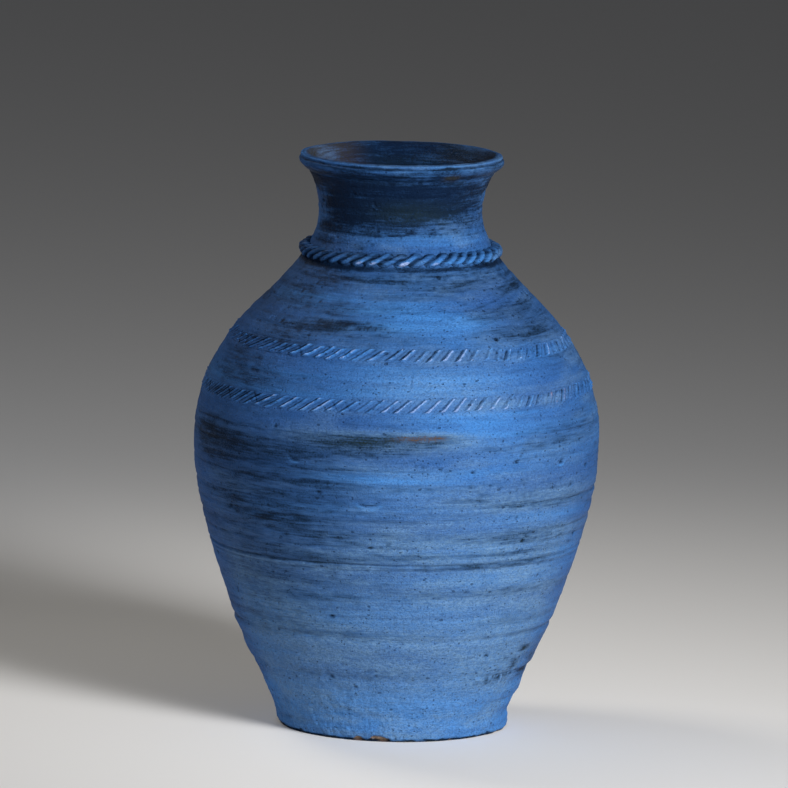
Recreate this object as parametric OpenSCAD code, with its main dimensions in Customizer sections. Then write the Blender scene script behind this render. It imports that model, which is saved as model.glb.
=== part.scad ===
// Hand-thrown terracotta water jar with a notched rope collar and two
// bands of slanted stick marks. Millimetres, +Z up, origin at the centre
// of the face that the jar rests on.

/* [Outline] */
// Radius of the foot where it rests
foot_r = 83.5; // [76:0.5:92]
// Outward lean of the wall at the foot, sideways per unit of height
foot_lean = 0.16; // [0.05:0.01:0.3]
// Height of the flare above the foot
flare_rise = 85; // [70:1:100]
// Radius of the wall at the flare
flare_r = 118.5; // [108:0.5:128]
// Outward lean of the wall at the flare
flare_lean = 0.35; // [0.25:0.01:0.45]
// Height of the belly above the flare
belly_rise = 126; // [105:1:145]
// Radius of the belly, the widest place
belly_r = 148.5; // [138:0.5:162]
// Height of the middle of the shoulder above the belly
shoulder_rise = 102; // [88:1:118]
// Radius at the middle of the shoulder
shoulder_r = 101.5; // [92:0.5:110]
// Inward lean of the wall at the middle of the shoulder
shoulder_lean = 1.02; // [0.8:0.01:1.2]
// Height of the waist of the neck above the shoulder
waist_rise = 64; // [56:1:74]
// Radius of the waist of the neck
waist_r = 59.7; // [54:0.1:65]
// Height of the lip's seat above the waist
lip_rise = 30; // [26:1:36]
// Radius of the lip's seat
lip_r = 67.8; // [65:0.1:72]
// Outward lean of the neck at the lip
lip_lean = 0.6; // [0.4:0.01:0.7]

/* [Walls] */
// Thickness of the body's wall, square to its surface
wall_t = 8.5; // [6:0.5:11]
// Thickness of the wall at the waist of the neck
neck_t = 7.7; // [6:0.1:9.5]
// Length of the straight cylinder inside the neck
throat_len = 20; // [14:1:26]
// Thickness of the floor
floor_t = 12; // [8:0.5:16]
// Radius of the rounded corner where the wall meets the floor
heel_fillet = 10; // [4:0.5:14]
// Width of the worn bevel round the foot's edge
foot_bevel = 1.5; // [0.5:0.1:3]

/* [Joints] */
// Height of the joint between the lower wall and the belly wall
body_joint_z = 138; // [110:1:170]
// Height of the lap that one wall holds inside the next
lap_h = 6; // [4:0.5:9]
// Share of the wall's thickness that the lap takes
lap_share = 0.5; // [0.4:0.05:0.6]
// Depth of the groove left outside at the body's joint
joint_groove = 0.8; // [0.3:0.1:1.5]
// Slip between luted pieces where they don't meet on a flat face
slip_gap = 0.1; // [0.05:0.05:0.3]

/* [Lip] */
// Radius of the rolled bead round the mouth
bead_r = 5.2; // [4:0.1:6.5]
// How far the bead's centre lies outside the lip's seat
bead_out = 2.1; // [0.5:0.1:4]
// Height of the bead's centre above the lip's seat
bead_rise = 8.8; // [7:0.1:11]

/* [Rope collar] */
// Height of the collar's centre above the middle of the shoulder
collar_rise = 37.5; // [30:0.5:44]
// Radius of the clay coil that makes the collar
coil_r = 5.6; // [4.5:0.1:7]
// Spacing of the notches round the collar
notch_pitch = 11.3; // [9:0.1:14]
// Radius of the round stick that pressed the notches
notch_r = 2.2; // [1.5:0.1:3]
// Depth of the notches
notch_depth = 1.9; // [1:0.1:2.6]
// Slant of the notches from upright, in degrees
notch_slant = 50; // [30:1:60]

/* [Stick-marked bands] */
// Height of the upper band's centre below the middle of the shoulder
upper_band_drop = 24; // [18:0.5:30]
// Height of the upper band
upper_band_h = 11; // [8:0.5:14]
// Spacing of the marks in the upper band
upper_pitch = 11.3; // [9:0.1:14]
// Height of the lower band's centre above the belly
lower_band_rise = 44; // [36:0.5:52]
// Height of the lower band
lower_band_h = 12; // [8:0.5:15]
// Spacing of the marks in the lower band
lower_pitch = 10.8; // [9:0.1:14]
// How far the bands stand proud of the wall
band_proud = 1.3; // [0.8:0.1:2]
// Depth of the marks
mark_depth = 0.9; // [0.4:0.1:1.2]
// Slant of the marks from upright, in degrees
mark_slant = 46; // [30:1:55]

/* [Hidden] */
$fn = 128;

// Heights of the named places, from the resting face
flare_z = flare_rise;
belly_z = flare_z + belly_rise;
shoulder_z = belly_z + shoulder_rise;
waist_z = shoulder_z + waist_rise;
lip_z = waist_z + lip_rise;
collar_z = shoulder_z + collar_rise;
upper_band_z = shoulder_z - upper_band_drop;
lower_band_z = belly_z + lower_band_rise;

// The clear radius of the mouth
throat_r = waist_r - neck_t;

// Sampling of the outline along its height, and of the rounded edges
profile_step = 6;
arc_steps = 10;
bead_from = -40;
bead_to = 135;

blue = [0.22, 0.40, 0.66];
deep_blue = [0.13, 0.26, 0.48];
clay = [0.62, 0.38, 0.26];

// The outline's stations: height, radius and lean at each named place
stations = [
    [0, foot_r, foot_lean],
    [flare_z, flare_r, flare_lean],
    [belly_z, belly_r, 0],
    [shoulder_z, shoulder_r, -shoulder_lean],
    [waist_z, waist_r, 0],
    [lip_z, lip_r, lip_lean]
];

// Smooth cubic between two stations that keeps both radii and both leans
function between(a, b, z) =
    let (h = b[0] - a[0], t = (z - a[0]) / h)
    (2 * pow(t, 3) - 3 * pow(t, 2) + 1) * a[1]
    + (pow(t, 3) - 2 * pow(t, 2) + t) * h * a[2]
    + (3 * pow(t, 2) - 2 * pow(t, 3)) * b[1]
    + (pow(t, 3) - pow(t, 2)) * h * b[2];

// Which stretch of the outline holds height z
function stretch(z, i = 0) =
    i >= len(stations) - 2 || z <= stations[i + 1][0] ? i : stretch(z, i + 1);

// Outside radius and lean of the wall at height z
function outer_r(z) =
    let (i = stretch(z)) between(stations[i], stations[i + 1], z);
function lean(z) = (outer_r(z + 0.5) - outer_r(z - 0.5));

// Inside radius: the wall keeps its thickness square to its surface, and a
// quarter round fills the corner above the floor
function offset_r(z) = outer_r(z) - wall_t * sqrt(1 + pow(lean(z), 2));
function fillet_in(z) =
    let (h = floor_t + heel_fillet - z)
    h <= 0 ? 0 : heel_fillet - sqrt(max(0, pow(heel_fillet, 2) - pow(h, 2)));
function inner_r(z) = offset_r(z) - fillet_in(z);
function neck_inner_r(z) = max(throat_r, offset_r(z));

// Heights from a to b in even steps
function heights(a, b) =
    let (n = max(1, ceil((b - a) / profile_step)))
    [for (i = [0:n]) a + (b - a) * i / n];
function reversed(list) = [for (i = [len(list) - 1:-1:0]) list[i]];

// Points of the outside from a up to b, and of the inside from b down to a
function outside(a, b, proud = 0) =
    [for (z = heights(a, b)) [outer_r(z) + proud, z]];
function inside(a, b) = [for (z = reversed(heights(a, b))) [inner_r(z), z]];
function neck_inside(a, b) =
    [for (z = reversed(heights(a, b))) [neck_inner_r(z), z]];

// Radius that parts the two halves of a lap joint at height z
function lap_r(z) = outer_r(z) - lap_share * (outer_r(z) - inner_r(z));

// Points on an arc from angle a to b
function arc(centre, radius, a, b) =
    [for (i = [0:arc_steps])
        let (t = a + (b - a) * i / arc_steps)
        centre + radius * [cos(t), sin(t)]];

// The flat disc that the jar is built up on
module base_slab() {
    color(clay)
    rotate_extrude()
    polygon(concat(
        [[0, 0], [foot_r - foot_bevel, 0], [outer_r(foot_bevel), foot_bevel]],
        [[outer_r(floor_t), floor_t], [0, floor_t]]));
}

// Points of the tongue that stands on a wall's top edge at height z
function tongue(z) = [[lap_r(z), z], [lap_r(z), z + lap_h]];

// Points of the socket in the next wall's bottom edge, from its ledge down
function socket(z) =
    let (r = lap_r(z) + slip_gap)
    [[r, z + lap_h + slip_gap], [r, z]];

// The rounded corner above the floor, from its top down to the floor
function heel() =
    [for (i = [1:arc_steps])
        let (z = floor_t + heel_fillet * (1 - sin(90 * i / arc_steps)))
        [inner_r(z), z]];

// The first thrown wall, from the floor to the groove at its top joint
module lower_wall() {
    top = body_joint_z;
    color(blue)
    rotate_extrude()
    polygon(concat(
        outside(floor_t, top - joint_groove),
        [[outer_r(top) - joint_groove, top]],
        tongue(top),
        inside(floor_t + heel_fillet, top + lap_h),
        heel()));
}

// The second thrown wall, up to the joint that the lower band covers
module belly_wall() {
    bottom = body_joint_z;
    top = lower_band_z;
    color(blue)
    rotate_extrude()
    polygon(concat(
        [[outer_r(bottom) - joint_groove, bottom]],
        outside(bottom + joint_groove, top),
        tongue(top),
        inside(bottom + lap_h + slip_gap, top + lap_h),
        socket(bottom)));
}

// The third thrown wall, up to the joint that the rope collar covers
module shoulder_wall() {
    bottom = lower_band_z;
    color(blue)
    rotate_extrude()
    polygon(concat(
        outside(bottom, collar_z),
        inside(bottom + lap_h + slip_gap, collar_z),
        socket(bottom)));
}

// The collared neck, with a true cylinder at its waist
module neck_wall() {
    land_low = waist_z - throat_len / 2;
    land_high = waist_z + throat_len / 2;
    color(blue)
    rotate_extrude()
    polygon(concat(
        outside(collar_z, lip_z),
        neck_inside(land_high + profile_step, lip_z),
        [[throat_r, land_high], [throat_r, land_low]],
        neck_inside(collar_z, land_low - profile_step)));
}

// The rolled lip, a bead that hangs outwards over the neck's flared top
module rim_roll() {
    centre = [lip_r + bead_out, lip_z + bead_rise];
    color(blue)
    rotate_extrude()
    polygon(concat(
        [[lip_r, lip_z]],
        arc(centre, bead_r, bead_from, bead_to),
        [[neck_inner_r(lip_z), lip_z]]));
}

// Copies of a mark round the jar, a whole number at about the given spacing
module round_the_jar(radius, pitch) {
    count = round(2 * PI * radius / pitch);
    for (i = [0:count - 1])
        rotate([0, 0, 360 * i / count]) children();
}

// Puts a slanted tool on the wall at height z, standing out from it by
// proud, with its length along the wall
module on_wall(z, proud, slant) {
    out = proud / sqrt(1 + pow(lean(z), 2));
    translate([outer_r(z) + out, 0, z - out * lean(z)])
    rotate([0, atan(lean(z)), 0])
    rotate([-slant, 0, 0])
    children();
}

// A coil of clay laid over the neck's joint and notched into a rope
module rope_collar() {
    tilt = atan(lean(collar_z));
    centre = [outer_r(collar_z), collar_z];
    low = collar_z - coil_r * cos(tilt);
    high = collar_z + coil_r * cos(tilt);
    edge = 90 / arc_steps;
    color(deep_blue)
    difference() {
        rotate_extrude()
        polygon(concat(
            arc(centre, coil_r, -90 - tilt + edge, 90 - tilt - edge),
            reversed(outside(low, high, slip_gap))));
        round_the_jar(centre[0] + coil_r, notch_pitch)
            on_wall(collar_z, coil_r + notch_r - notch_depth, notch_slant)
                cylinder(h = 6 * coil_r, r = notch_r, center = true);
    }
}

// A thin strip of clay on the wall, marked all round with a slanted edge
module stroke_band(z, height, pitch) {
    low = z - height / 2;
    high = z + height / 2;
    color(deep_blue)
    difference() {
        rotate_extrude()
        polygon(concat(
            outside(low, high, slip_gap),
            reversed(outside(low + band_proud, high - band_proud,
                             band_proud * sqrt(1 + pow(lean(z), 2))))));
        round_the_jar(outer_r(z), pitch)
            on_wall(z, band_proud, mark_slant)
                rotate([0, 0, 45])
                    cube([mark_depth * sqrt(2), mark_depth * sqrt(2), 3 * height],
                         center = true);
    }
}

module upper_stroke_band() {
    stroke_band(upper_band_z, upper_band_h, upper_pitch);
}

module lower_stroke_band() {
    stroke_band(lower_band_z, lower_band_h, lower_pitch);
}

base_slab();
lower_wall();
belly_wall();
shoulder_wall();
neck_wall();
rim_roll();
rope_collar();
upper_stroke_band();
lower_stroke_band();
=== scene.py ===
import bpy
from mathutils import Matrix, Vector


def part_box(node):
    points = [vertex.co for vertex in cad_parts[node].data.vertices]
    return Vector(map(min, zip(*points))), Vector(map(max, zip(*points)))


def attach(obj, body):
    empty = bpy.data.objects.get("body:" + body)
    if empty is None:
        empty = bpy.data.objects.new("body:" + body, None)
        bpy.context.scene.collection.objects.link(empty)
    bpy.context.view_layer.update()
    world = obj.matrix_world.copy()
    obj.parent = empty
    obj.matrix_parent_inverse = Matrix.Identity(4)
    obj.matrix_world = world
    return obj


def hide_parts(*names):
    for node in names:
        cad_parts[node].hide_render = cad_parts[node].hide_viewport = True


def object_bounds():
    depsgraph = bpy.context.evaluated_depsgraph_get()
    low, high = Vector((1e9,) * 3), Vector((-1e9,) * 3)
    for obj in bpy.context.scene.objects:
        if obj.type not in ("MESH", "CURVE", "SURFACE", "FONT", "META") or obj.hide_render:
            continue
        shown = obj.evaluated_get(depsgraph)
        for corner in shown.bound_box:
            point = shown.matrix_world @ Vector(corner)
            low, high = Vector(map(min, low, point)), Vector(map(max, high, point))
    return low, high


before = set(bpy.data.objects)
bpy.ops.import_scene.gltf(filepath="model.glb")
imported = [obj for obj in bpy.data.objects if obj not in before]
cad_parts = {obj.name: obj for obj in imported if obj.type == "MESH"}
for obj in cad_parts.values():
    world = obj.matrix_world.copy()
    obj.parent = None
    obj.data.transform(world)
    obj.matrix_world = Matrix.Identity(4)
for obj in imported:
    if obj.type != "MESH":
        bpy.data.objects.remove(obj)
cad_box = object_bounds()
print("nodes:", sorted(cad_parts))

# %% [markdown]
# # A blue-painted, hand-thrown water jar
#
# The jar is one fired pot, but a potter builds it from several pieces of clay:
# a floor, three thrown walls, a neck, a rolled lip, a rope collar and two thin
# strips that are marked with a stick. The frame holds those pieces at their
# real size. This lesson gives each of them the skin of a real pot.
#
# A turned pot is nearly a body of revolution, so every piece here is a grid:
# one direction runs round the jar, the other runs up or across the wall. numpy
# works out the whole grid at once. What makes clay look like clay is the small
# departure from the perfect turning: finger rings, grooves, dents and chips.
# They are added to the radius before the mesh is made, so they are real shape.

import bpy
import numpy as np
from mathutils.bvhtree import BVHTree

MM = 0.001
TURN = 2 * np.pi
WALLS = ["base_slab", "lower_wall", "belly_wall", "shoulder_wall", "neck_wall"]

# %% [markdown]
# ## Feeling the outline with callipers
#
# The wall's outline is not typed in again. A potter's callipers feel a pot from
# outside and from inside, and the same can be done with level rays: from far
# outside towards the axis for the outside, and from the axis outwards for the
# inside. The solids have short straight steps in their outline, so the readings
# are smoothed with a soft window a few millimetres wide.

# %% Callipers
def solid_tree(names):
    """Search tree over the triangles of the named nodes, for rays."""
    points, faces = [], []
    for name in names:
        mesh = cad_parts[name].data
        start = len(points)
        points.extend(v.co.copy() for v in mesh.vertices)
        faces.extend([start + i for i in p.vertices] for p in mesh.polygons)
    return BVHTree.FromPolygons(points, faces)


def feel(tree, height, inside):
    """Radius at one height: the farthest of three level rays from outside, or
    the nearest of three from the axis."""
    found = []
    for angle in (0.21, 1.37, 2.53):
        ray = np.array([np.cos(angle), np.sin(angle), 0.0])
        start = (0, 0, height) if inside else tuple(ray + (0, 0, height))
        hit = tree.ray_cast(start, tuple(ray if inside else -ray))[0]
        if hit is not None:
            found.append(np.hypot(hit.x, hit.y))
    return (min(found) if inside else max(found)) if found else np.nan


def soften(values, reach):
    """Running average with a bell-shaped window; the ends are continued by
    their own point reflection, so a straight line stays as it is."""
    k = np.arange(-3 * reach, 3 * reach + 1)
    bell = np.exp(-0.5 * (k / reach) ** 2)
    pad = 3 * reach
    low = 2 * values[0] - values[pad:0:-1]
    high = 2 * values[-1] - values[-2:-pad - 2:-1]
    return np.convolve(np.r_[low, values, high], bell / bell.sum(), "valid")


# %% The outline of the wall
floor_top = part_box("lower_wall")[0].z
body_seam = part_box("belly_wall")[0].z
shoulder_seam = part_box("shoulder_wall")[0].z
neck_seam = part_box("neck_wall")[0].z
lip_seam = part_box("rim_roll")[0].z
jar_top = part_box("rim_roll")[1].z

tree = solid_tree(WALLS)
outer_h = np.arange(2.5 * MM, lip_seam - 0.5 * MM, MM)
outer_r = soften(np.array([feel(tree, h, False) for h in outer_h]), 3)
inner_h = np.arange(floor_top + 0.6 * MM, lip_seam - 0.5 * MM, MM)
inner_r = soften(np.array([feel(tree, h, True) for h in inner_h]), 2)
belly_r = outer_r.max()
print(f"belly {2000 * belly_r:.0f} mm, mouth {2000 * inner_r[300:].min():.0f} mm,"
      f" height {1000 * jar_top:.0f} mm")


def grown(h, heights, radii):
    """Radius at any height, carried on in a straight line past the ends."""
    r = np.interp(h, heights, radii)
    below = np.minimum(h - heights[0], 0) * (radii[3] - radii[0]) / (3 * MM)
    above = np.maximum(h - heights[-1], 0) * (radii[-1] - radii[-4]) / (3 * MM)
    return r + below + above


def outside_at(h):
    """Radius of the outside at height h."""
    return grown(h, outer_h, outer_r)


def lean_at(h):
    """How far the outside leans out for each unit of height."""
    return (outside_at(h + MM) - outside_at(h - MM)) / (2 * MM)


def inside_at(h):
    """Radius of the inside at height h."""
    return grown(h, inner_h, inner_r)


# %% [markdown]
# ## Chance that closes round the jar
#
# Clay and brush work need chance values that are smooth, that can be stretched
# along the rings, and that close up after a full turn with no seam. A lattice
# of random numbers whose columns wrap round does this: a value between four
# lattice points is blended with an ease curve. The seeds are fixed, so the jar
# comes out the same each time.

# %% Smooth chance
LATTICE_ROWS = 512


def ease(t):
    """Ease curve 3t^2 - 2t^3."""
    return t * t * (3 - 2 * t)


def mottle(turn, height, around, tall, seed):
    """Smooth values from -1 to 1, with `around` cells in a full turn and cells
    `tall` metres high. A negative turn wraps like a positive one."""
    lattice = np.random.default_rng(seed).uniform(-1, 1, (around, LATTICE_ROWS))
    u, v = np.broadcast_arrays(turn / TURN * around, height / tall)
    i, j = np.floor(u).astype(int), np.floor(v).astype(int)
    a, b = ease(u - i), ease(v - j)
    i0, i1 = i % around, (i + 1) % around
    j0, j1 = j % LATTICE_ROWS, (j + 1) % LATTICE_ROWS
    low = lattice[i0, j0] * (1 - a) + lattice[i1, j0] * a
    high = lattice[i0, j1] * (1 - a) + lattice[i1, j1] * a
    return low * (1 - b) + high * b


def brushed(turn, height, seed):
    """Streaks that run along the rings: three mottles, each finer than the
    last, all much longer round the jar than they are tall."""
    h = height + 0.8 * MM * np.sin(turn + 0.7)
    return (0.5 * mottle(turn, h, 11, 6 * MM, seed)
            + 0.3 * mottle(turn, h, 27, 2.6 * MM, seed + 1)
            + 0.2 * mottle(turn, h, 64, 1.3 * MM, seed + 2))


def clamp(values, low=0.0, high=1.0):
    return np.minimum(np.maximum(values, low), high)


def step_up(low, high, values):
    """Eased step from 0 at low to 1 at high."""
    return ease(clamp((values - low) / (high - low)))


# %% [markdown]
# ## The relief of the thrown wall
#
# The wheel leaves finger rings, and a rib or a fingernail leaves a few sharper
# grooves that fade in and out round the jar. One groove is deeper than the
# rest: it lies over the joint of the two lower walls. The foot is rougher,
# because it was cut and handled while it was soft. Small pits come from grit
# that was dragged out. All of it is one function of the turn and the height, so
# that neighbouring pieces agree where they meet.

# %% Rings and grooves
# Height, depth and half width of each groove, in millimetres
GROOVES = [
    (49, 0.45, 2.6), (80, 0.95, 2.0), (98, 0.35, 1.2), (113.5, 0.6, 2.4),
    (134.5, 0.35, 0.9), (138.3, 0.8, 1.0), (151, 0.3, 1.0), (159.5, 0.55, 2.2),
    (171, 0.4, 1.6), (181, 0.65, 1.5), (198, 0.3, 1.2), (209, 0.35, 1.1),
    (220, 0.35, 1.6), (232, 0.3, 1.4), (272, 0.3, 1.4), (303, 0.35, 1.8),
    (318, 0.3, 1.6), (336, 0.4, 1.5), (366, 0.3, 1.5), (384, 0.35, 1.4),
    (395, 0.3, 1.2),
]


def rings(turn, h):
    """Finger rings: chance bands about 10, 5 and 2 mm high, nearly level."""
    level = h + MM * (0.7 * np.sin(turn + 1.1) + 0.4 * np.sin(2 * turn + 0.4))
    return (0.34 * mottle(turn, level, 3, 9.5 * MM, 1)
            + 0.17 * mottle(turn, level, 6, 4.6 * MM, 2)
            + 0.08 * mottle(turn, level, 12, 2.2 * MM, 3))


def grooves(turn, h):
    """Each groove is a bell-shaped dip with a low shoulder above and below it,
    and its depth fades with a slow mottle round the jar."""
    total = 0.0
    for i, (at, depth, half) in enumerate(GROOVES):
        level = h / MM - at + 0.7 * np.sin(turn + 0.6 * i) + 0.3 * np.sin(3 * turn + i)
        hold = clamp(0.72 + 0.75 * mottle(turn, at * MM, 7, 10 * MM, 40 + i))
        dip = -np.exp(-(level / half) ** 2)
        shoulder = 0.35 * np.exp(-((np.abs(level) - 2.1 * half) / half) ** 2)
        total = total + depth * hold * (dip + shoulder)
    return total


# %% Roughness, dents and pits
def shelf(h, at):
    """A ledge: proud above a height and shy below it, gone 12 mm away."""
    up = h / MM - at
    return np.tanh(up / 0.9) * np.exp(-np.abs(up) / 9)


def roughness(turn, h):
    """Lumps of clay: gentle everywhere and three times as strong at the foot."""
    foot = 1 - step_up(20 * MM, 85 * MM, h)
    small = 0.13 * mottle(turn, h, 110, 6.5 * MM, 11)
    small = small + 0.11 * mottle(turn, h, 260, 2.6 * MM, 12)
    big = 0.5 * mottle(turn, h, 22, 14 * MM, 13) + 0.25 * mottle(turn, h, 60, 8 * MM, 14)
    side = np.exp(-((turn - np.radians(78)) / np.radians(26)) ** 2)
    ledges = 1.5 * shelf(h, 49) + 1.3 * shelf(h, 27)
    up = h / MM
    ledges = ledges + 1.3 * np.exp(-(up / 7) ** 2) - 1.2 * np.exp(-((up - 12) / 5) ** 2)
    return small * (1 + 1.8 * foot) + big * (0.16 + foot) + side * ledges


def scatter(count, seed):
    """Chance pits: turn in degrees, height, radius and depth in millimetres."""
    rng = np.random.default_rng(seed)
    size = rng.uniform(0.7, 1.4, count) * rng.choice([1, 1, 1, 1.5], count)
    height = rng.uniform(8, 400, count)
    return np.c_[rng.uniform(-180, 180, count), height, size, size * 0.42]


# The pits and dents that stand out: turn and height, radius and depth
PITS = np.array([
    (37.5, 298.5, 1.7, 1.3), (7.5, 212.5, 1.4, 0.9), (5.5, 213.2, 1.2, 0.7),
    (12.5, 211.0, 1.3, 0.9), (22.0, 208.0, 1.4, 1.0), (36.0, 214.0, 1.7, 1.1),
    (54.0, 210.0, 1.9, 1.0), (27.5, 197.5, 1.3, 0.9), (36.5, 193.5, 1.2, 0.9),
    (59.5, 191.0, 1.4, 0.9), (41.0, 154.0, 1.5, 1.0), (37.5, 171.5, 1.2, 0.7),
    (21.0, 339.5, 1.5, 0.9), (-22.0, 191.5, 1.7, 1.0), (-7.0, 152.0, 1.5, 0.7),
    (-4.0, 152.5, 1.1, 0.6), (-21.0, 97.0, 1.7, 0.8), (24.5, 14.0, 1.6, 1.1),
    (-52.0, 306.0, 1.8, 0.7), (-37.0, 236.0, 1.3, 0.8), (3.5, 89.0, 1.2, 0.7),
    (-9.0, 56.0, 1.4, 0.8), (-6.0, 51.0, 1.2, 0.7), (-19.0, 32.0, 2.0, 0.8),
])


def peck(turn, h, pits):
    """Pits pressed into a grid: a bell-shaped dip with a faint raised lip. Only
    the few cells round each pit are touched."""
    relief = np.zeros((len(h), turn.size))
    radius = outside_at(h)
    for at, height, size, depth in pits:
        rows = np.flatnonzero(np.abs(h / MM - height) < 3 * size)
        if not rows.size:
            continue
        across = (turn - np.radians(at) + np.pi) % TURN - np.pi
        cols = np.flatnonzero(np.abs(across) * radius[rows[0]] < 3 * size * MM)
        u = across[cols] * radius[rows][:, None] / (1.25 * size * MM)
        v = (h[rows] / MM - height)[:, None] / (0.85 * size)
        d = np.sqrt(u ** 2 + v ** 2 + 0.35 * np.sin(at) * u * v)
        dip = -np.exp(-d ** 2.6) + 0.30 * (v < 0) * np.exp(-((d - 1.5) / 0.4) ** 2)
        relief[np.ix_(rows, cols)] += depth * dip
    return relief


# %% The whole relief
# Each stroke band: middle height, half height and how far it climbs to the right
BANDS = {}
for band, climb in (("upper_stroke_band", -0.8), ("lower_stroke_band", 2.4)):
    low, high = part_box(band)
    BANDS[band] = ((low.z + high.z) / 2, (high.z - low.z) / 2, climb * MM)


def band_middle(band, turn):
    """Height of a band's middle line, which was drawn by eye."""
    middle, _, climb = BANDS[band]
    return middle + climb * np.sin(turn) + 0.5 * MM * np.sin(3 * turn + 1)


def clear_of_bands(pits):
    """The pits that lie outside the two bands, so both keep clean edges."""
    keep = np.ones(len(pits), bool)
    for band in BANDS:
        away = np.abs(pits[:, 1] * MM - band_middle(band, np.radians(pits[:, 0])))
        keep &= away > BANDS[band][1] + 2.2 * MM * pits[:, 2]
    return pits[keep]


# Short strokes and dents left by a nail or a fingertip: turn, height, half length
# and half width in mm, slope in degrees, bend in mm and depth in mm
STROKES = [
    (-7.5, 183.5, 9.5, 1.3, 0, 2.6, 1.0), (4, 270.5, 6.5, 0.7, 80, 0.4, 0.6),
    (-17.5, 388.5, 3.2, 0.9, -50, 1.4, 0.6), (36.5, 385, 3.0, 0.8, -55, 0.3, 0.7),
    (-8.5, 286, 8, 0.6, 4, 0, 0.35), (54, 209, 3.5, 1.0, 20, 1.2, 0.7),
    (37.5, 171, 3.5, 0.7, 85, 0, 0.5), (-30, 214, 5, 1.0, -20, 1.5, 0.5),
    (58, 50, 4, 1.0, 70, 0.6, 0.8),
    (52, 44, 3.5, 1.0, 80, 0.4, 0.7), (150, 190, 9, 0.8, 12, 1.5, 0.6),
    (-120, 130, 12, 0.8, -8, 1.0, 0.5), (100, 300, 7, 0.8, 30, 1.0, 0.5),
]


def scratch(turn, h):
    """Sum of the strokes: a bell-shaped furrow along a bent line, with a raised
    lip on its lower side."""
    total = 0.0
    for at, height, reach, half, slope, bend, depth in STROKES:
        across = ((turn - np.radians(at) + np.pi) % TURN - np.pi) * outside_at(height * MM) / MM
        up = h / MM - height
        c, s = np.cos(np.radians(slope)), np.sin(np.radians(slope))
        along, beside = across * c + up * s, up * c - across * s
        beside = (beside - bend * (along / reach) ** 2) / half
        held = depth * np.exp(-(along / reach) ** 6)
        total = total + held * (0.6 * np.exp(-(beside + 1.7) ** 2) - np.exp(-beside ** 2))
    return total


ALL_PITS = clear_of_bands(np.vstack([PITS, scatter(420, 77)]))
box_r = min(cad_box[1][0], cad_box[1][1])


def turned(turn, h):
    """Rings, grooves and roughness in millimetres. A soft ceiling keeps the
    widest place inside the box of the solids."""
    total = rings(turn, h) + grooves(turn, h) + roughness(turn, h)
    total = total + 0.35 * np.sin(2 * turn + 0.8) - 0.25
    room = (box_r - outside_at(h)) / MM - 0.5
    return -np.logaddexp(-5 * room, -5 * total) / 5


def marks_on(turn, h):
    """Pits and strokes on a grid, in millimetres: rows are heights."""
    return peck(turn, h, ALL_PITS) + scratch(turn[None, :], h[:, None])


def relief(turn, h):
    """Departure from the true turning in millimetres: rows are heights."""
    return turned(turn[None, :], h[:, None]) + marks_on(turn, h)


# How far the pot's centre strays sideways, as it does on any thrown pot
STRAY_H = np.array([0, 15, 55, 100, 210, 325, 385, 421]) * MM
STRAY = np.array([0.9, 0.3, -0.9, 0, 0, 0.9, -0.5, -0.3]) * MM


def place(turn, r, h):
    """Points at a turn (0 in front, growing to the right), radius and height."""
    turn, r, h = np.broadcast_arrays(turn, r, h)
    x = r * np.sin(turn) + np.interp(h, STRAY_H, STRAY)
    return np.stack([x, -r * np.cos(turn), h], -1)


def skin(turn, h, proud):
    """The outside at a height, moved square to the wall by `proud` mm."""
    lean = lean_at(h)
    out = proud * MM / np.sqrt(1 + lean ** 2)
    return place(turn, outside_at(h) + out, h - out * lean)


# %% [markdown]
# ## From a grid to a closed piece
#
# Every piece is one grid of points. Its rows run once round the section of the
# clay (up the outside and down the inside, for a wall) and its columns run once
# round the jar, so joining the last row to the first closes the piece. Only the
# floor slab is different: its rows start and end on the axis, where two single
# points close it. The volume must come out positive, or the faces look inward.

# %% Making a piece
def turns(count):
    """Angles of the columns; the first column lies at the back of the jar."""
    return -np.pi + TURN * np.arange(count) / count


def quads(rows, cols, closed):
    """Corner numbers of the faces between neighbouring rows and columns."""
    i = np.arange(rows if closed else rows - 1)[:, None]
    j = np.arange(cols)[None, :]
    here, above = i * cols, (i + 1) % rows * cols
    right = (j + 1) % cols
    return np.stack([here + j, here + right, above + right, above + j], -1).reshape(-1, 4)


def volume(points, faces):
    """Signed volume from the triangles of the faces, positive if they look out."""
    a, b = points[faces[:, 0]], points[faces[:, 1]]
    total = 0.0
    for k in range(2, faces.shape[1]):
        c = points[faces[:, k]]
        total += np.einsum("ij,ij->", a, np.cross(b, c)) / 6
        b = c
    return total


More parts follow.
